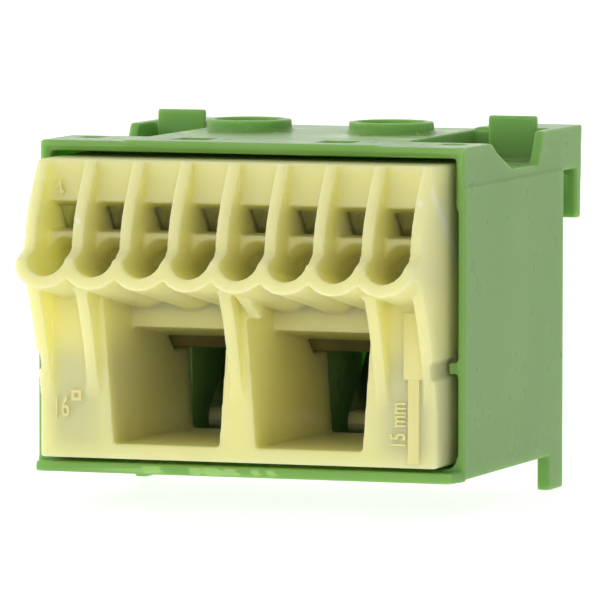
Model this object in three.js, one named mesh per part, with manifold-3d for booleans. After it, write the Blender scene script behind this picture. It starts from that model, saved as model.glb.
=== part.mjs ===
// Push-in earth terminal block that hooks onto a carrier rail.
// Millimetres. X runs across the block, Y from the wire side to the rail side, Z up.
// While the pieces are made, X = 0 is the middle, Y = 0 is the housing's front rim and
// Z = 0 is the underside of its base plate. The whole block is then moved so that its
// origin is the bottom centre of its bounding box.
import * as THREE from 'three';
import { mergeVertices } from 'three/addons/utils/BufferGeometryUtils.js';
import Module from 'manifold-3d';

const wasm = await Module();
wasm.setup();

// ---- driving dimensions -------------------------------------------------------------
const GAP = 0.3;               // clearance between neighbouring pieces

const BODY_WIDTH = 45;         // housing, across
const BODY_HEIGHT = 33;        // base plate underside to top face
const BODY_DEPTH = 32.6;       // front rim to rear face
const WALL = 1.2;              // top and rear walls
const SIDE_WALL = 0.8;
const BASE_WALL = 1.1;
const STEP_Z = 28.86;          // the housing is a little narrower above this line
const STEP_IN = 0.2;
const CORNER_DROP = 0.12;      // the corner regions lie a little below the middle of the top
const MIDDLE_HALF = 13.3;      // half width of the raised middle of the top

const ENTRIES = 8;             // small wire entries
const PITCH = 5.05;
const FIN = 1.2;               // fins between the entries
const CHANNEL = PITCH - FIN;
const INSERT_WIDTH = ENTRIES * PITCH + FIN;
const INSERT_TOP = 31.25;
const INSERT_FLOOR = BASE_WALL + GAP;
const INSERT_REAR = 20;
const FACE_Y = -3.9;           // front of the lower half of the insert
const LINTEL_Y = 3.9;          // where the tunnels get their ceiling
const CHAMBER_REAR = 12.5;

const PIPE = { y: -11, z: 22.05, slope: 0.185, outer: 3.35, mouth: 2.05, throat: 1.35 };
const PIPE_TILT = Math.atan(PIPE.slope);
const GUIDE = { y: -5.5, z: 21.7, tilt: 0.27 };

const TUNNEL = { inner: 1.9, outer: 13.1, flare: 0.8, low: 3, high: 14 };

const BUSBAR_HALF = INSERT_WIDTH / 2 - FIN - GAP;
const SMALL_SPRING = { y: -0.2, z: 27.2, radius: 1.5, thickness: 0.45, width: 3.3 };
const SMALL_TIP = { y: 5.5, z: 18.0 };
const SMALL_BASE_END = 10;
const LARGE_SPRING = { y: 22.35, z: 3.45, radius: 1.7, thickness: 0.7, width: 8.2 };
const LARGE_TIP = { y: 27.2, z: 10.55 };
const LARGE_BASE_END = 30;
const LARGE_CENTRE_X = 7.5;

const TROUGH = { inner: 13.5, outer: 21.3, floor: 29.9, shell: 0.95, rear: 30.9 };
const HOOK = { inner: 13.4, end: 39.5, throat: 37.6, tip: 23.7, arm: 28.8, top: 33.2 };
const CHEEK = 1.0;             // thickness of the hooks' side cheeks
const FOOT = { inner: 21.1, front: 28.1, drop: 3.5 };
const COLLAR = { x: 7.62, y: 21.5, foot: 4.43, top: 4.3, bore: 3.47, z: 34.17, floor: 32.5 };
const TAB = { inner: 15.4, outer: 20.4, front: 29.4, thickness: 1, bottom: 30.3, top: 34.5 };

// ---- materials ------------------------------------------------------------------------
const GREEN = { color: 0x4fae6d, roughness: 0.35, metalness: 0 };
const YELLOW = { color: 0xf0d73c, roughness: 0.35, metalness: 0 };
const COPPER = { color: 0xb8b2a6, roughness: 0.3, metalness: 1 };
const STEEL = { color: 0xc9ccd0, roughness: 0.22, metalness: 1 };

// ---- making and joining solids ----------------------------------------------------------
function toSolid(geometry) {
  geometry.deleteAttribute('normal');
  geometry.deleteAttribute('uv');
  const merged = mergeVertices(geometry, 1e-4);
  const index = merged.index.array;
  const corners = [];
  for (let i = 0; i < index.length; i += 3) {
    const [a, b, c] = [index[i], index[i + 1], index[i + 2]];
    if (a !== b && b !== c && c !== a) {
      corners.push(a, b, c);
    }
  }
  return new wasm.Manifold(new wasm.Mesh({
    numProp: 3,
    vertProperties: new Float32Array(merged.attributes.position.array),
    triVerts: new Uint32Array(corners),
  }));
}

function toMesh(name, solid, finish) {
  const { vertProperties, triVerts } = solid.getMesh();
  const geometry = new THREE.BufferGeometry();
  geometry.setAttribute('position', new THREE.BufferAttribute(vertProperties, 3));
  geometry.setIndex(new THREE.BufferAttribute(triVerts, 1));
  geometry.computeVertexNormals();
  const mesh = new THREE.Mesh(geometry, new THREE.MeshStandardMaterial(finish));
  mesh.name = name;
  return mesh;
}

function join(solids) {
  return solids.reduce((sum, solid) => sum.add(solid));
}

function box(x0, x1, y0, y1, z0, z1) {
  const geometry = new THREE.BoxGeometry(x1 - x0, y1 - y0, z1 - z0);
  geometry.translate((x0 + x1) / 2, (y0 + y1) / 2, (z0 + z1) / 2);
  return toSolid(geometry);
}

function mirrored(solid) {
  return [solid, solid.mirror([1, 0, 0])];
}

function path(points) {
  return new THREE.Shape(points.map(([u, v]) => new THREE.Vector2(u, v)));
}

function extruded(shape, depth, curveSegments = 6) {
  return new THREE.ExtrudeGeometry(shape, { depth, curveSegments, bevelEnabled: false });
}

// An outline drawn in Y and Z, pulled along X.
function slab(shape, x0, x1) {
  const geometry = extruded(shape, x1 - x0);
  const basis = new THREE.Matrix4().makeBasis(
    new THREE.Vector3(0, 1, 0), new THREE.Vector3(0, 0, 1), new THREE.Vector3(1, 0, 0));
  geometry.applyMatrix4(basis);
  geometry.translate(x0, 0, 0);
  return toSolid(geometry);
}

// An outline drawn in X and Z, pulled along Y.
function faceSlab(shape, y0, y1) {
  const geometry = extruded(shape, y1 - y0);
  const basis = new THREE.Matrix4().makeBasis(
    new THREE.Vector3(1, 0, 0), new THREE.Vector3(0, 0, 1), new THREE.Vector3(0, -1, 0));
  geometry.applyMatrix4(basis);
  geometry.translate(0, y1, 0);
  return toSolid(geometry);
}

// An outline drawn in X and Y, pulled along Z.
function planSlab(shape, z0, z1) {
  const geometry = extruded(shape, z1 - z0);
  geometry.translate(0, 0, z0);
  return toSolid(geometry);
}

// ---- front insert -----------------------------------------------------------------------
function entryCentre(index) {
  return (index - (ENTRIES - 1) / 2) * PITCH;
}

function pipeAxisZ(y) {
  return PIPE.z - PIPE.slope * (y - PIPE.y);
}

// The side outline of everything that the fins and the entry lips may fill.
function envelope() {
  const shape = new THREE.Shape()
    .moveTo(-4.6, INSERT_TOP)
    .quadraticCurveTo(-8.3, 26.6, -8.65, 23.4)
    .lineTo(-8.75, 22.65)
    .lineTo(-9.5, 22.3)
    .lineTo(-10.9, 21.75)
    .lineTo(-13.0, 17.5)
    .lineTo(-3, 12)
    .lineTo(LINTEL_Y + 1, 12)
    .lineTo(LINTEL_Y + 1, INSERT_TOP)
    .closePath();
  return slab(shape, -INSERT_WIDTH / 2, INSERT_WIDTH / 2);
}

// A round solid on an entry's axis, or on a steeper one that starts at y and z.
function pipeSolid(profile, x, tilt = PIPE_TILT, y = PIPE.y, z = PIPE.z) {
  const points = profile.map(([radius, along]) => new THREE.Vector2(radius, along));
  const geometry = new THREE.LatheGeometry(points, 32);
  geometry.rotateX(-tilt);
  geometry.translate(x, y, z);
  return toSolid(geometry);
}

function pipeBarrel(x) {
  const reach = (LINTEL_Y + 0.5 - PIPE.y) / Math.cos(PIPE_TILT);
  return pipeSolid([[0, -4], [PIPE.outer, -4], [PIPE.outer, reach], [0, reach]], x);
}

// Wide for the insulation, then a cone down to the bare conductor's size. A second cone
// above it guides a wire that comes in high.
function pipeBore(x) {
  const { mouth, throat } = PIPE;
  const bore = pipeSolid([
    [0, -5], [mouth, -5], [mouth, 9.5], [throat, 12], [throat, 15.6], [0, 15.6]], x);
  const guide = pipeSolid(
    [[0, -1], [2.08, -1], [throat, 7.2], [0, 7.2]], x, GUIDE.tilt, GUIDE.y, GUIDE.z);
  return bore.add(guide);
}

function upperBlock() {
  const shape = new THREE.Shape()
    .moveTo(-4.6, INSERT_TOP)
    .quadraticCurveTo(-8.3, 26.6, -8.65, 23.4)
    .lineTo(-8.75, 22.65)
    .lineTo(-9.5, 22.3)
    .lineTo(-10.9, 21.75)
    .lineTo(-11.1, 21.35)
    .lineTo(LINTEL_Y, pipeAxisZ(LINTEL_Y) - 0.6)
    .lineTo(LINTEL_Y, 14.06)
    .lineTo(13.5, 12.5)
    .lineTo(13.5, 13.35)
    .lineTo(CHAMBER_REAR, 14.35)
    .lineTo(CHAMBER_REAR, 29.7)
    .lineTo(8.5, INSERT_TOP)
    .closePath();
  const half = INSERT_WIDTH / 2;
  const barrels = [];
  for (let i = 0; i < ENTRIES; i += 1) {
    barrels.push(pipeBarrel(entryCentre(i)));
  }
  return slab(shape, -half, half).add(join(barrels).intersect(envelope()));
}

function tunnels() {
  const { inner, outer, flare, low, high } = TUNNEL;
  const rise = (20.5 - low) / (high - low);
  const mouth = path([
    [inner, 1.5], [outer, 1.5], [outer, low],
    [outer + flare * rise, 20.5], [inner - flare * rise, 20.5], [inner, low]]);
  const height = path([
    [-14, 3.05], [INSERT_REAR + 1, 2.5], [INSERT_REAR + 1, 12.5],
    [13.5, 12.5], [LINTEL_Y, 14.06], [LINTEL_Y, 20.5], [-14, 20.5]]);
  const cut = faceSlab(mouth, -14, INSERT_REAR + 1).intersect(slab(height, 0, 20));
  return join(mirrored(cut));
}

// Two tunnels for the large wires, with hollows open to the rear beside them.
function lowerBlock() {
  const half = INSERT_WIDTH / 2;
  const shape = path([
    [FACE_Y, INSERT_FLOOR], [INSERT_REAR, INSERT_FLOOR], [INSERT_REAR, 10.8],
    [16.05, 10.8], [13.4, 13.45], [3.5, 18.9], [FACE_Y, pipeAxisZ(FACE_Y)]]);
  const hollow = box(14.9, half - FIN, FACE_Y + FIN, INSERT_REAR + 1, 2.6, 12);
  return slab(shape, -half, half).subtract(tunnels()).subtract(join(mirrored(hollow)));
}

// Ribs that carry the funnels, standing in line with five of the nine fins.
function ribs() {
  const shape = new THREE.Shape()
    .moveTo(-9.3, 20.5)
    .quadraticCurveTo(-6.0, 16.3, -3.85, 6.88)
    .lineTo(FACE_Y, INSERT_FLOOR)
    .lineTo(-3, INSERT_FLOOR)
    .lineTo(-3, 20.5)
    .closePath();
  const bars = [0, 1, 4, 7, 8].map((index) => {
    const x = (index - ENTRIES / 2) * PITCH;
    return slab(shape, x - FIN / 2, x + FIN / 2);
  });
  const gusset = path([[-10.5, 19.6], [-4, 15.8], [-3, 15.8], [-3, 20.5], [-10, 20.5]]);
  return join(bars).add(slab(gusset, 1.3, 2.5).intersect(envelope()));
}

// The open channel between two fins: a scoop in front, open to the top, that leads into
// the round entry, a ledge above it, and the release slot over the ledge.
function channelCut(x) {
  const ledge = 24.1;
  const arch = -5;
  const shape = path([
    [-20, pipeAxisZ(-20)], [arch, pipeAxisZ(arch)], [arch, ledge], [0, ledge],
    [-1.8, 26.3], [-4.95, 27.2], [-3.75, INSERT_TOP + 0.05], [-3.75, 40], [-20, 40]]);
  return slab(shape, x - CHANNEL / 2, x + CHANNEL / 2);
}

// The room for one small clamp spring.
function chamberCut(x) {
  const ceiling = 29.25;
  const shape = path([
    [-2.2, ceiling], [-2.2, 26.4], [-0.25, 24.0], [3.1, 20.0], [4.0, 17.9],
    [13.2, 16.2], [13.2, ceiling]]);
  return slab(shape, x - CHANNEL / 2, x + CHANNEL / 2);
}

function busbarSlot() {
  const shape = path([
    [4.3, 16], [4.3, 18.15], [13.2, 16.5], [25, 16.5], [25, 10.8],
    [16.05, 10.8], [12.3, 14.55]]);
  return slab(shape, -BUSBAR_HALF - GAP, BUSBAR_HALF + GAP);
}

// A notch in each side, open to the front, that the housing's tooth stands in.
function toothNotch() {
  const half = INSERT_WIDTH / 2;
  return box(half - 0.4, half + 1, -13, 2.4, 10.2, 12);
}

function frontInsert() {
  const cuts = [busbarSlot(), ...mirrored(toothNotch())];
  for (let i = 0; i < ENTRIES; i += 1) {
    const x = entryCentre(i);
    cuts.push(channelCut(x), chamberCut(x), pipeBore(x));
  }
  return upperBlock().add(lowerBlock()).add(ribs()).subtract(join(cuts));
}

// ---- housing ------------------------------------------------------------------------------
function housingShell() {
  const half = BODY_WIDTH / 2;
  const upper = half - STEP_IN;
  const inside = half - SIDE_WALL;
  const lip = path([
    [-half, 0.3], [-21.8, -2.5], [21.8, -2.5], [half, 0.3]]);
  const outside = join([
    box(-half, half, 0, BODY_DEPTH, 0, STEP_Z),
    box(-upper, upper, 0, BODY_DEPTH, STEP_Z - 1, BODY_HEIGHT - CORNER_DROP),
    box(-MIDDLE_HALF, MIDDLE_HALF, 0, BODY_DEPTH, STEP_Z, BODY_HEIGHT),
    planSlab(lip, -0.2, 0.87)]);
  const cavity = box(-inside, inside, -1, BODY_DEPTH - WALL, BASE_WALL, BODY_HEIGHT - WALL);
  const rimStep = box(-inside, inside, -1, 0.4, BODY_HEIGHT - WALL, BODY_HEIGHT - 0.77);
  return outside.subtract(cavity).subtract(rimStep);
}

// What stands on the inside of the front rim: rounded lower corners, side bands, teeth.
function rimDetails() {
  const inside = BODY_WIDTH / 2 - SIDE_WALL;
  const corner = new THREE.Shape()
    .moveTo(inside + 0.1, 3.2)
    .quadraticCurveTo(inside - 0.1, 1.2, inside - 1.1, BASE_WALL - 0.1)
    .lineTo(inside + 0.1, BASE_WALL - 0.1)
    .closePath();
  const rim = [
    faceSlab(corner, 0, 1.4),
    box(inside - 0.33, inside + 0.1, 0.4, 3, 26.8, 32),
    box(INSERT_WIDTH / 2 - 0.1, inside + 0.1, 0.3, 2, 10.5, 11.6)];
  return join(mirrored(join(rim)));
}

// Dividers on the base that flank the large springs and carry the busbar's tail.
function dividers() {
  const front = INSERT_REAR + GAP;
  const rear = BODY_DEPTH - WALL + 0.1;
  const side = box(13.4, 14.6, front, rear, 0.9, 10.8);
  return join([box(-1.2, 1.2, front, rear, 0.9, 10.8), ...mirrored(side)]);
}

function troughOutline(rearY, rearZ) {
  return path([
    [7.6, 33.3], [9.5, 32.7], [10.9, 31.9], [16, 30.0], [24.5, TROUGH.floor],
    [rearY, rearZ], [rearY, 40], [7.6, 40]]);
}

function troughShell() {
  const under = TROUGH.floor - TROUGH.shell;
  const shape = path([
    [7.5, 32.8], [8.2, 31.9], [10.5, 31.05], [15.8, 29.05], [17, under],
    [BODY_DEPTH, under], [BODY_DEPTH, 32.8]]);
  return slab(shape, TROUGH.inner - 1, BODY_WIDTH / 2 - STEP_IN);
}

function troughCut() {
  const middle = slab(troughOutline(TROUGH.rear, TROUGH.floor), TROUGH.inner, TROUGH.outer);
  const side = slab(troughOutline(26.4, 33.3), TROUGH.outer - 0.1, 30);
  return middle.add(side);
}

function hook() {
  const outer = BODY_WIDTH / 2 - STEP_IN;
  const { inner, end, throat, tip, arm, top } = HOOK;
  const root = BODY_DEPTH - 1;
  const cheek = path([
    [root, arm], [root, top], [end, top], [end - 0.5, tip], [throat, tip], [throat, arm]]);
  const lip = path([[throat, tip], [end - 0.5, tip], [end, top], [throat, top]]);
  const sideTop = path([
    [26.2, 32.8], [26.4, top], [root + 0.1, top], [root + 0.1, 32.8]]);
  return join([
    slab(cheek, outer - CHEEK, outer),
    slab(cheek, inner, inner + CHEEK),
    slab(lip, inner, outer),
    box(inner, outer, root, throat + 0.1, 32, top),
    slab(sideTop, outer - CHEEK, outer)]);
}

function foot() {
  return box(FOOT.inner, BODY_WIDTH / 2, FOOT.front, BODY_DEPTH, -FOOT.drop, 0.1);
}

// A low round collar with a blind hole, one on each side of the top.
function collarParts() {
  const ring = new THREE.LatheGeometry([
    new THREE.Vector2(0, 32.2), new THREE.Vector2(COLLAR.foot, 32.2),
    new THREE.Vector2(COLLAR.top, COLLAR.z), new THREE.Vector2(0, COLLAR.z)], 48);
  const hole = new THREE.CylinderGeometry(COLLAR.bore, COLLAR.bore, 4, 48);
  hole.translate(0, COLLAR.floor + 2, 0);
  return [ring, hole].map((geometry) => {
    geometry.rotateX(Math.PI / 2);
    geometry.translate(COLLAR.x, COLLAR.y, 0);
    return toSolid(geometry);
  });
}

function topPockets() {
  const floor = BODY_HEIGHT - 0.55;
  return join([
    box(5.7, 9.5, 2.8, 6.5, floor, 40), box(17.9, 20.2, 4.9, 7.4, floor, 40)]);
}

function housing() {
  const [ring, hole] = collarParts();
  const added = join([...mirrored(ring), ...mirrored(foot()), rimDetails(), dividers()]);
  const cut = join([...mirrored(topPockets()), ...mirrored(hole)]);
  return housingShell()
    .add(join(mirrored(troughShell())))
    .subtract(join(mirrored(troughCut())))
    .add(join(mirrored(hook())))
    .add(added)
    .subtract(cut);
}

// ---- busbar, springs and tabs -----------------------------------------------------------
function busbar() {
  const shape = path([
    [4.6, 17.8], [13.0, 16.25], [16.9, 12.6], [29.5, 12.6],
    [29.5, 11.1], [16.2, 11.1], [12.4, 14.85], [4.6, 16.3]]);
  return slab(shape, -BUSBAR_HALF, BUSBAR_HALF);
}

// A strip of even thickness that follows a line of points in Y and Z.
function strip(line, thickness, x, width) {
  const sides = [[], []];
  line.forEach(([y, z], i) => {
    const [y0, z0] = line[Math.max(i - 1, 0)];
    const [y1, z1] = line[Math.min(i + 1, line.length - 1)];
    const length = Math.hypot(y1 - y0, z1 - z0);
    const offY = -(z1 - z0) / length * thickness / 2;
    const offZ = (y1 - y0) / length * thickness / 2;
    sides[0].push([y + offY, z + offZ]);
    sides[1].unshift([y - offY, z - offZ]);
  });
  return slab(path([...sides[0], ...sides[1]]), x - width / 2, x + width / 2);
}

// The angle at which a straight leg to the tip leaves the loop. turn is +1 or -1.
function tangentAngle(spring, tip, turn) {
  const away = Math.atan2(tip.z - spring.z, tip.y - spring.y);
  const distance = Math.hypot(tip.y - spring.y, tip.z - spring.z);
  return away + turn * Math.acos(spring.radius / distance);
}

function onLoop(spring, angle) {
  return [spring.y + spring.radius * Math.cos(angle), spring.z + spring.radius * Math.sin(angle)];
}

function springLeg(spring, tip, turn, x) {
  const start = onLoop(spring, tangentAngle(spring, tip, turn));
  return strip([start, [tip.y, tip.z]], spring.thickness, x, spring.width);
}

// The loop and the leg that stays put: from just short of the clamping leg, round the
// front of the loop, and straight back to endY.
function springBase(spring, tip, turn, endY, x) {
  const gap = GAP / spring.radius;
  const steps = 10;
  const from = tangentAngle(spring, tip, turn) + turn * gap;
  const to = turn * 3 * Math.PI / 2;
  const line = [];
  for (let i = 0; i <= steps; i += 1) {
    line.push(onLoop(spring, from + (to - from) * i / steps));
  }
  line.push([endY, spring.z - turn * spring.radius]);
  return strip(line, spring.thickness, x, spring.width);
}

function latchTab() {
  const { inner, outer, front, thickness, bottom, top } = TAB;
  const rear = front + thickness;
  const shape = path([
    [front, bottom], [front, top - 0.2], [front + 0.2, top], [rear - 0.2, top],
    [rear, top - 0.2], [rear, bottom]]);
  return slab(shape, inner, outer);
}

// ---- the assembled block ------------------------------------------------------------------
const block = new THREE.Group();
block.add(toMesh('housing', housing(), GREEN));
block.add(toMesh('front_insert', frontInsert(), YELLOW));
block.add(toMesh('busbar', busbar(), COPPER));

for (let i = 0; i < ENTRIES; i += 1) {
  const x = entryCentre(i);
  const base = springBase(SMALL_SPRING, SMALL_TIP, -1, SMALL_BASE_END, x);
  const leg = springLeg(SMALL_SPRING, SMALL_TIP, -1, x);
  block.add(toMesh(`small_spring_${i + 1}`, base, STEEL));
  block.add(toMesh(`small_clamp_leg_${i + 1}`, leg, STEEL));
}

['left', 'right'].forEach((side, i) => {
  const x = LARGE_CENTRE_X * (2 * i - 1);
  const base = springBase(LARGE_SPRING, LARGE_TIP, 1, LARGE_BASE_END, x);
  const leg = springLeg(LARGE_SPRING, LARGE_TIP, 1, x);
  const tab = mirrored(latchTab())[1 - i];
  block.add(toMesh(`large_spring_${side}`, base, STEEL));
  block.add(toMesh(`large_clamp_leg_${side}`, leg, STEEL));
  block.add(toMesh(`latch_tab_${side}`, tab, GREEN));
});

const bounds = new THREE.Box3().setFromObject(block);
const middle = bounds.getCenter(new THREE.Vector3());
block.position.set(-middle.x, -middle.y, -bounds.min.z);

const group = new THREE.Group();
group.add(block);
export default group;
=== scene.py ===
# Looks of a push-in earth terminal block: green housing, yellow front insert, spring clamps.
# Everything is in metres, in the row frame: +X right, +Y towards the rail, +Z up.
import math

import bpy
import bmesh
from mathutils import Matrix, Vector


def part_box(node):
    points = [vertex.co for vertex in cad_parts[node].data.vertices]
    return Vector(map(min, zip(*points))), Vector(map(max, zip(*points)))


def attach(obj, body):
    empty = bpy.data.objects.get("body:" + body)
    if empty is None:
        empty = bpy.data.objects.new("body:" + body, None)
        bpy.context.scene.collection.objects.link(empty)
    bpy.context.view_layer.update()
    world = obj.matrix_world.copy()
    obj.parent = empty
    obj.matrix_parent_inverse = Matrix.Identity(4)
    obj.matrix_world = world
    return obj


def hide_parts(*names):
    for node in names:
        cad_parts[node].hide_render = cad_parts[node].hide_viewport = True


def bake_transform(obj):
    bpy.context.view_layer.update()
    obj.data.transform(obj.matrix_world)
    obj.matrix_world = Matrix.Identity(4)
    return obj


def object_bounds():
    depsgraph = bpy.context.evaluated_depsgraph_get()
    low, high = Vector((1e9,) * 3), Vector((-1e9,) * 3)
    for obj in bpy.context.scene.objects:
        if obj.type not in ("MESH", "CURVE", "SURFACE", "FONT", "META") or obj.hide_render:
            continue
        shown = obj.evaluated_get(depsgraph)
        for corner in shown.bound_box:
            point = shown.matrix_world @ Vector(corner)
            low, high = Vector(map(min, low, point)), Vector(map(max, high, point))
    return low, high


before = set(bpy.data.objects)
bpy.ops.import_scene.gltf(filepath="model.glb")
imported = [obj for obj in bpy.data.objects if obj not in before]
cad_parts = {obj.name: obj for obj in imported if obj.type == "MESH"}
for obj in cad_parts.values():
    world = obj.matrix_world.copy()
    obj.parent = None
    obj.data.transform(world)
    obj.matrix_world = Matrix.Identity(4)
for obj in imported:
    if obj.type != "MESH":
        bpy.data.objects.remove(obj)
CAD_LOW, CAD_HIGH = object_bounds()

MM = 0.001
# The white room's brightness in front, behind and on the right, then the lamps and the floor.
ROOM_FRONT, ROOM_BACK, ROOM_RIGHT = 0.45, 1.3, 0.25
FRONT_WATTS, LEFT_WATTS = 2.3, 1.6
LAMP_SIZE = (0.6, 0.6)
FLOOR_GLOW, FLOOR_WHITE, FLOOR_SIZE = 0.82, 0.3, 40

# The camera: degrees round the block, upwards and rolled, then metres, and millimetres of film.
AZIMUTH, ELEVATION, ROLL = 19.0, 4.295, -0.077
CAMERA_DISTANCE = 0.8985
LENS, SENSOR = 533.6, 36

# The block, in millimetres: its row of small entries, how far its lip and feet stand out, and
# where the insert's front plate is and how far raised marks reach into it.
ENTRIES = 8
PITCH = 5.05
LIP_REACH, FOOT_HEIGHT = 2.5, 3.5
PLATE_Y, SUNK = -3.9, 0.1
HOUSING_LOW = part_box("housing")[0]
# The front rim's plane and the base plate's underside, from which the design is measured.
RIM_Y = HOUSING_LOW.y + LIP_REACH * MM
BASE_Z = HOUSING_LOW.z + FOOT_HEIGHT * MM

# The angles from which an edge is shaded as an edge, and from which a pulled shape is bevelled.
SHARP, CORNER = math.radians(30), math.radians(40)


def at(x, y, z):
    """A place given in millimetres from the middle of the rim's plane at the base."""
    return Vector((x * MM, RIM_Y + y * MM, BASE_Z + z * MM))


# ---- camera, lights and floor -------------------------------------------------------------
def add_camera():
    azimuth, elevation, roll = (math.radians(a) for a in (AZIMUTH, ELEVATION, ROLL))
    target = at(0.093, 15.0, 16.277)
    away = Vector((math.sin(azimuth) * math.cos(elevation),
                   -math.cos(azimuth) * math.cos(elevation),
                   math.sin(elevation)))
    data = bpy.data.cameras.new("camera")
    data.sensor_width = SENSOR
    data.lens = LENS
    data.clip_start = 0.01
    data.clip_end = 50
    camera = bpy.data.objects.new("camera", data)
    camera.location = target + away * CAMERA_DISTANCE
    camera.rotation_euler = (-away).to_track_quat("-Z", "Y").to_euler()
    camera.rotation_euler.rotate_axis("Z", -roll)
    bpy.context.scene.collection.objects.link(camera)
    bpy.context.scene.camera = camera


def add_light(name, place, watts):
    """A square white lamp that faces the middle of the block."""
    data = bpy.data.lights.new(name, "AREA")
    data.shape = "RECTANGLE"
    data.size, data.size_y = LAMP_SIZE
    data.energy = watts
    light = bpy.data.objects.new(name, data)
    light.location = place
    aim = at(0, 12, 15) - light.location
    light.rotation_euler = aim.to_track_quat("-Z", "Y").to_euler()
    bpy.context.scene.collection.objects.link(light)


def add_world():
    """A white room: brightest behind the object, dimmer in front and on its right."""
    world = bpy.data.worlds.new("studio")
    world.use_nodes = True
    tree = world.node_tree
    place = tree.nodes.new("ShaderNodeTexCoord")
    axes = tree.nodes.new("ShaderNodeSeparateXYZ")
    tree.links.new(place.outputs["Generated"], axes.inputs["Vector"])
    levels = []
    for axis, start, low, high in (("Y", -0.6, ROOM_FRONT, ROOM_BACK),
                                   ("X", 0.0, 1.0, ROOM_RIGHT)):
        level = tree.nodes.new("ShaderNodeMapRange")
        level.inputs["From Min"].default_value = start
        level.inputs["From Max"].default_value = 0.9
        level.inputs["To Min"].default_value = low
        level.inputs["To Max"].default_value = high
        tree.links.new(axes.outputs[axis], level.inputs["Value"])
        levels.append(level.outputs["Result"])
    both = tree.nodes.new("ShaderNodeMath")
    both.operation = "MULTIPLY"
    tree.links.new(levels[0], both.inputs[0])
    tree.links.new(levels[1], both.inputs[1])
    tree.links.new(both.outputs["Value"], tree.nodes["Background"].inputs["Strength"])
    tree.nodes["Background"].inputs["Color"].default_value = (1, 1, 1, 1)
    bpy.context.scene.world = world


def add_floor():
    """A white floor that gives off light of its own, so that it stays white under the lamps."""
    material = bpy.data.materials.new("floor_white")
    material.use_nodes = True
    shader = material.node_tree.nodes["Principled BSDF"]
    shader.inputs["Base Color"].default_value = (*[FLOOR_WHITE] * 3, 1)
    shader.inputs["Roughness"].default_value = 0.6
    shader.inputs["Emission Color"].default_value = (1, 1, 1, 1)
    shader.inputs["Emission Strength"].default_value = FLOOR_GLOW
    bpy.ops.mesh.primitive_plane_add(size=FLOOR_SIZE, location=(0, 0, CAD_LOW.z))
    floor = bpy.context.object
    floor.name = "floor"
    floor.data.materials.append(material)


add_camera()
add_world()
add_light("front", at(160, -880, 160), FRONT_WATTS)
add_light("left", at(-650, -520, 380), LEFT_WATTS)
add_floor()
bpy.context.scene.view_settings.view_transform = "Standard"


# ---- materials --------------------------------------------------------------------------------
class Nodes:
    """Short calls for building one material's node tree."""

    def __init__(self, name):
        self.material = bpy.data.materials.new(name)
        self.material.use_nodes = True
        self.tree = self.material.node_tree
        self.shader = self.tree.nodes["Principled BSDF"]
        self.place = self.add("ShaderNodeTexCoord").outputs["Object"]

    def add(self, kind, **inputs):
        node = self.tree.nodes.new(kind)
        for key, value in inputs.items():
            node.inputs[key.replace("_", " ")].default_value = value
        return node

    def link(self, source, target):
        self.tree.links.new(source, target)

    def set(self, **values):
        for key, value in values.items():
            self.shader.inputs[key.replace("_", " ")].default_value = value

    def noise(self, scale, detail=2.0, stretch=(1, 1, 1)):
        mapping = self.add("ShaderNodeMapping", Scale=stretch)
        self.link(self.place, mapping.inputs["Vector"])
        node = self.add("ShaderNodeTexNoise", Scale=scale, Detail=detail)
        self.link(mapping.outputs["Vector"], node.inputs["Vector"])
        return node.outputs["Fac"]

    def ramp(self, source, low, high):
        """Goes from the low colour to the high one over the middle of the source's range."""
        node = self.add("ShaderNodeValToRGB")
        for stop, position, colour in zip(node.color_ramp.elements, (0.3, 0.7), (low, high)):
            stop.position = position
            stop.color = colour
        self.link(source, node.inputs["Fac"])
        return node.outputs["Color"]

    def span(self, source, low, high):
        node = self.add("ShaderNodeMapRange", To_Min=low, To_Max=high)
        self.link(source, node.inputs["Value"])
        return node.outputs["Result"]

    def bump(self, source, depth, strength, before=None):
        node = self.add("ShaderNodeBump", Strength=strength, Distance=depth)
        self.link(source, node.inputs["Height"])
        if before is not None:
            self.link(before, node.inputs["Normal"])
        return node.outputs["Normal"]


def plastic(name, low, high, edge, edge_highlight_share, rough, gloss, glow_radius, glow_weight):
    """Translucent moulded nylon: faint cloudy colour, satin skin with a very fine grain.

    Edges are painted paler by the given share: a painted highlight for the light that leaves the
    thin rim again.
    """
    n = Nodes(name)
    cloud = n.ramp(n.noise(90, 3, (1, 1, 0.45)), (*low, 1), (*high, 1))
    shape = n.add("ShaderNodeNewGeometry")
    # Painted highlight: the colour turns towards the pale edge colour on sharp edges.
    rim = n.add("ShaderNodeMapRange", From_Min=0.53, From_Max=0.62, To_Min=0.0, To_Max=edge_highlight_share)
    n.link(shape.outputs["Pointiness"], rim.inputs["Value"])
    mix = n.add("ShaderNodeMix")
    mix.data_type = "RGBA"
    n.link(rim.outputs["Result"], mix.inputs["Factor"])
    n.link(cloud, mix.inputs[6])
    mix.inputs[7].default_value = (*edge, 1)
    n.link(mix.outputs[2], n.shader.inputs["Base Color"])
    n.link(n.span(n.noise(260, 4), rough - 0.05, rough + 0.07), n.shader.inputs["Roughness"])
    waves = n.bump(n.noise(120, 1), 0.03 * MM, 0.25)
    grain = n.bump(n.noise(5200, 2), 0.006 * MM, 0.35, waves)
    n.link(grain, n.shader.inputs["Normal"])
    n.set(Subsurface_Weight=glow_weight, Subsurface_Radius=glow_radius,
          Subsurface_Scale=1.4 * MM, IOR=1.53, Specular_IOR_Level=gloss)
    return n.material


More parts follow.
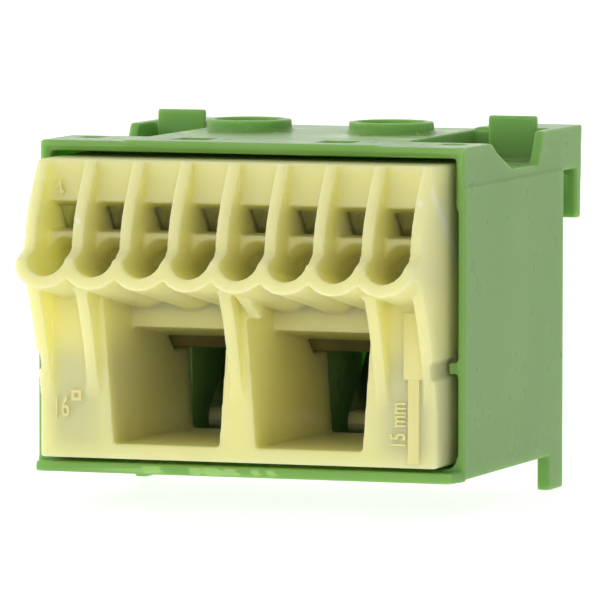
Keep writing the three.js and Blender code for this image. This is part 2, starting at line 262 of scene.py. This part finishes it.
def metal(name, colour, rough, scratch_axis):
    """Rolled sheet metal with fine lines along the strip and a few dull patches."""
    n = Nodes(name)
    line_depth = 0.012 * MM
    stretch = [1, 1, 1]
    stretch[scratch_axis] = 0.04
    lines = n.noise(6000, 3, stretch)
    low = [c * 0.8 for c in colour]
    n.link(n.ramp(n.noise(400, 2), (*low, 1), (*colour, 1)), n.shader.inputs["Base Color"])
    n.link(n.span(lines, rough - 0.06, rough + 0.12), n.shader.inputs["Roughness"])
    n.link(n.bump(lines, line_depth, 0.3), n.shader.inputs["Normal"])
    n.set(Metallic=1.0)
    return n.material


def green(name, edge_highlight_share):
    # The pale colour after the two base colours is the painted edge highlight.
    return plastic(name, (0.205, 0.385, 0.110), (0.230, 0.415, 0.125), (0.42, 0.64, 0.24),
                   edge_highlight_share, 0.28, 0.05, (1.4, 2.2, 1.0), 0.6)


def yellow(name, shade_factor, edge_highlight_share, glow_weight):
    # The colours are scaled by the factor given; below 1 it is painted shade.
    low, high = ([part * shade_factor for part in colour]
                 for colour in ((0.835, 0.780, 0.325), (0.870, 0.815, 0.350)))
    # The pale colour after the two base colours is the painted edge highlight.
    return plastic(name, low, high, (0.96, 0.94, 0.64),
                   edge_highlight_share, 0.34, 0.2, (4.5, 4.2, 2.6), glow_weight)


# green() takes the painted edge highlight's strength; yellow() takes a shade factor, that strength
# and the weight of light under the skin.
GREEN = green("green_nylon", 0.7)
GREEN_TONGUE = green("green_nylon_tongue", 0.0)
YELLOW = yellow("yellow_nylon", 1.0, 0.6, 0.85)
# The raised marks are the insert's own nylon, drawn at 0.88 of its colour as painted shade, without
# the painted edge highlight or light beneath the skin.
YELLOW_MARK_PAINTED_SHADE = yellow("yellow_nylon_mark_painted_shade", 0.88, 0.0, 0.0)
STEEL = metal("spring_steel", (0.62, 0.64, 0.68), 0.2, 1)
# The tin colour is darkened well below bright tin: painted shade for the busbar's front beneath the
# tunnels' lintels.
TIN = metal("tinned_copper", (0.50, 0.46, 0.38), 0.34, 0)


# ---- mesh work ----------------------------------------------------------------------------------
def new_object(name, mesh):
    piece = bpy.data.objects.new(name, mesh)
    bpy.context.scene.collection.objects.link(piece)
    return piece


def applied(piece):
    """Bakes an object's modifiers into its mesh."""
    graph = bpy.context.evaluated_depsgraph_get()
    mesh = bpy.data.meshes.new_from_object(piece.evaluated_get(graph))
    old = piece.data
    piece.modifiers.clear()
    piece.data = mesh
    bpy.data.meshes.remove(old)
    return piece


def smooth_faces(mesh):
    mesh.polygons.foreach_set("use_smooth", [True] * len(mesh.polygons))


def square_up(mesh):
    """Makes the shading of walls that face along an axis as flat as the walls are."""
    nearly = 0.95
    normals = []
    for vertex in mesh.vertices:
        normal = vertex.normal.copy()
        for axis in range(3):
            if abs(normal[axis]) > nearly:
                normal = Vector([math.copysign(1, normal[axis]) * (k == axis) for k in range(3)])
                break
        normals.append(normal)
    mesh.normals_split_custom_set_from_vertices(normals)


def moulded(name, node, rounds, most_triangles):
    """The node's solid with every edge softened as a mould leaves it.

    It is remade in small cubes, smoothed, and thinned to about that many triangles. The work is
    done at a thousand times life size, so that a cube's edge is given in millimetres.
    """
    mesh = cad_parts[node].data.copy()
    mesh.materials.clear()
    mesh.transform(Matrix.Scale(1 / MM, 4))
    piece = new_object(name, mesh)
    remesh = piece.modifiers.new("cubes", "REMESH")
    remesh.mode = "VOXEL"
    remesh.voxel_size = CUBE
    smooth = piece.modifiers.new("smooth", "SMOOTH")
    smooth.factor = 0.5
    smooth.iterations = rounds
    applied(piece)
    triangles = len(piece.data.polygons) * 2
    if triangles > most_triangles:
        thin = piece.modifiers.new("thin", "DECIMATE")
        thin.ratio = most_triangles / triangles
        applied(piece)
    piece.data.transform(Matrix.Scale(MM, 4))
    smooth_faces(piece.data)
    square_up(piece.data)
    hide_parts(node)
    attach(piece, "root")
    return piece


def finish_piece(piece, material):
    piece.data.materials.clear()
    piece.data.materials.append(material)


# ---- the two mouldings ---------------------------------------------------------------------------
CUBE = 0.2
finish_piece(moulded("moulded_housing", "housing", rounds=2, most_triangles=150000), GREEN)
finish_piece(moulded("moulded_insert", "front_insert", rounds=3, most_triangles=180000), YELLOW)


# ---- sheet metal and tongues -----------------------------------------------------------------
def in_place(name, mesh):
    """Moves a mesh made in millimetres to its place and keeps its sharp edges sharp."""
    mesh.transform(Matrix.Translation(at(0, 0, 0)) @ Matrix.Scale(MM, 4))
    smooth_faces(mesh)
    mesh.set_sharp_from_angle(angle=SHARP)
    return new_object(name, mesh)


def pulled(name, sides, x0, x1, bevel):
    """A closed outline in Y and Z, pulled along X, with its corners broken by a small bevel."""
    work = bmesh.new()
    rings = [[work.verts.new((x, y, z)) for y, z in sides] for x in (x0, x1)]
    count = len(sides)
    work.faces.new(rings[0][::-1])
    work.faces.new(rings[1])
    for i in range(count):
        j = (i + 1) % count
        work.faces.new((rings[0][i], rings[0][j], rings[1][j], rings[1][i]))
    bmesh.ops.recalc_face_normals(work, faces=work.faces)
    corners = [e for e in work.edges if e.calc_face_angle() > CORNER]
    bmesh.ops.bevel(work, geom=corners, offset=bevel, segments=2, profile=0.5, affect="EDGES")
    mesh = bpy.data.meshes.new(name)
    work.to_mesh(mesh)
    work.free()
    return in_place(name, mesh)


def strip(name, line, thickness, x, width):
    """A bent strip of even thickness, in millimetres, whose middle follows the line."""
    edge_break = 0.06
    sides = [[], []]
    for i, (y, z) in enumerate(line):
        y0, z0 = line[max(i - 1, 0)]
        y1, z1 = line[min(i + 1, len(line) - 1)]
        length = math.hypot(y1 - y0, z1 - z0)
        off_y = -(z1 - z0) / length * thickness / 2
        off_z = (y1 - y0) / length * thickness / 2
        sides[0].append((y + off_y, z + off_z))
        sides[1].insert(0, (y - off_y, z - off_z))
    return pulled(name, sides[0] + sides[1], x - width / 2, x + width / 2, edge_break)


def spring_line(centre, radius, tip, turn, end_y):
    """From the clamping tip along the leg, round the loop, and straight back to end_y.

    It turns one way round the loop at 1 and the other way at -1.
    """
    leg_steps, loop_steps = 6, 28
    y, z = centre
    away = math.atan2(tip[1] - z, tip[0] - y)
    start = away + turn * math.acos(radius / math.dist(centre, tip))
    finish = turn * 3 * math.pi / 2
    loop = []
    for i in range(loop_steps + 1):
        angle = start + (finish - start) * i / loop_steps
        loop.append((y + radius * math.cos(angle), z + radius * math.sin(angle)))
    leg = [[tip[k] + (loop[0][k] - tip[k]) * i / leg_steps for k in (0, 1)]
           for i in range(leg_steps)]
    return [*leg, *loop, (end_y, z - turn * radius)]


def small_spring(number):
    x = (number - 1 - (ENTRIES - 1) / 2) * PITCH
    line = spring_line(centre=(-0.2, 27.2), radius=1.5, tip=(5.5, 18.0), turn=-1, end_y=10)
    piece = strip(f"clamp_strip_{number}", line, thickness=0.45, x=x, width=3.3)
    finish_piece(piece, STEEL)
    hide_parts(f"small_spring_{number}", f"small_clamp_leg_{number}")
    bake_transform(piece)


def large_spring(side, x):
    line = spring_line(centre=(22.35, 3.45), radius=1.7, tip=(27.2, 10.55), turn=1, end_y=30)
    piece = strip(f"clamp_strip_{side}", line, thickness=0.7, x=x, width=8.2)
    finish_piece(piece, STEEL)
    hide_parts(f"large_spring_{side}", f"large_clamp_leg_{side}")
    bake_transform(piece)


def latch_tongue(side, x0, x1):
    """An upright tongue, thinned at its foot where it bends out of the trough's floor."""
    sides = [(29.25, 29.8), (29.25, 29.95), (29.55, 30.25), (29.4, 30.9), (29.4, 34.25),
             (29.65, 34.5), (30.15, 34.5), (30.4, 34.25), (30.4, 30.9), (30.25, 30.25),
             (30.55, 29.95), (30.55, 29.8)]
    piece = pulled(f"tongue_{side}", sides, x0, x1, bevel=0.12)
    finish_piece(piece, GREEN_TONGUE)
    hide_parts(f"latch_tab_{side}")
    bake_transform(piece)


def bent_busbar():
    """The copper plate with its sheared edges broken."""
    weld, edge_break = 0.001 * MM, 0.15
    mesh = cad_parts["busbar"].data.copy()
    mesh.materials.clear()
    work = bmesh.new()
    work.from_mesh(mesh)
    bmesh.ops.remove_doubles(work, verts=work.verts, dist=weld)
    bmesh.ops.dissolve_limit(work, angle_limit=math.radians(1), verts=work.verts,
                             edges=work.edges)
    for vertex in work.verts:
        vertex.co /= MM
    corners = [e for e in work.edges if e.calc_face_angle() > SHARP]
    bmesh.ops.bevel(work, geom=corners, offset=edge_break, segments=2, profile=0.5, affect="EDGES")
    for vertex in work.verts:
        vertex.co *= MM
    work.to_mesh(mesh)
    work.free()
    smooth_faces(mesh)
    mesh.set_sharp_from_angle(angle=SHARP)
    piece = new_object("plated_busbar", mesh)
    finish_piece(piece, TIN)
    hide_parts("busbar")
    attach(piece, "root")


for number in range(1, ENTRIES + 1):
    small_spring(number)
large_spring("left", -7.5)
large_spring("right", 7.5)
latch_tongue("left", -20.4, -15.4)
latch_tongue("right", 15.4, 20.4)
bent_busbar()


# ---- raised marks on the insert: wire sizes, a strip gauge and its length --------------------
def raised_box(name, x0, x1, z0, z1, height, bevel):
    """A low box on the insert's front plate, a little sunk into it so that no gap shows."""
    front, back = PLATE_Y - height, PLATE_Y + SUNK
    piece = pulled(name, [(front, z0), (front, z1), (back, z1), (back, z0)], x0, x1, bevel)
    finish_piece(piece, YELLOW_MARK_PAINTED_SHADE)
    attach(piece, "root")


def raised_words(name, words, size, squeeze, place, turn=0, lean=90):
    """Plain figures in low relief, upright on a wall at lean 90, with place at their lower left."""
    relief, boldness = 0.12, 0.035
    curve = bpy.data.curves.new(name, "FONT")
    curve.body = words
    curve.size = size
    curve.extrude = relief
    curve.offset = boldness
    curve.resolution_u = 3
    letters = bpy.data.objects.new(name, curve)
    bpy.context.scene.collection.objects.link(letters)
    graph = bpy.context.evaluated_depsgraph_get()
    mesh = bpy.data.meshes.new_from_object(letters.evaluated_get(graph))
    bpy.data.objects.remove(letters)
    stand = (Matrix.Translation(place) @ Matrix.Rotation(math.radians(lean), 4, "X")
             @ Matrix.Rotation(math.radians(turn), 4, "Z") @ Matrix.Diagonal((squeeze, 1, 1, 1)))
    mesh.transform(stand)
    piece = in_place(name, mesh)
    finish_piece(piece, YELLOW_MARK_PAINTED_SHADE)
    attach(piece, "root")


def raised_square(name, x, z, side, wall):
    """The small open square that stands for square millimetres, as four low bars."""
    inner = side - wall
    bars = ((x, x + side, z, z + wall), (x, x + side, z + inner, z + side),
            (x, x + wall, z + wall, z + inner), (x + inner, x + side, z + wall, z + inner))
    for number, bar in enumerate(bars):
        raised_box(f"{name}_{number + 1}", *bar, height=0.07, bevel=0.02)


raised_words("mark_large_wire", "16", 2.9, 0.66, (-19.55, PLATE_Y, 5.53))
raised_square("mark_large_square", -17.5, 7.12, 1.08, 0.34)
raised_words("mark_strip_length", "15 mm", 2.3, 0.72, (17.6, PLATE_Y, 3.3), turn=90)
raised_words("mark_small_wire", "4", 2.75, 0.85, (-19.0, -4.75, 27.4), lean=106)
raised_box("strip_gauge", 17.85, 19.04, 1.8, 10.2, height=0.06, bevel=0.04)
raised_box("strip_gauge_head", 17.4, 19.4, 10.2, 16.8, height=0.08, bevel=0.04)
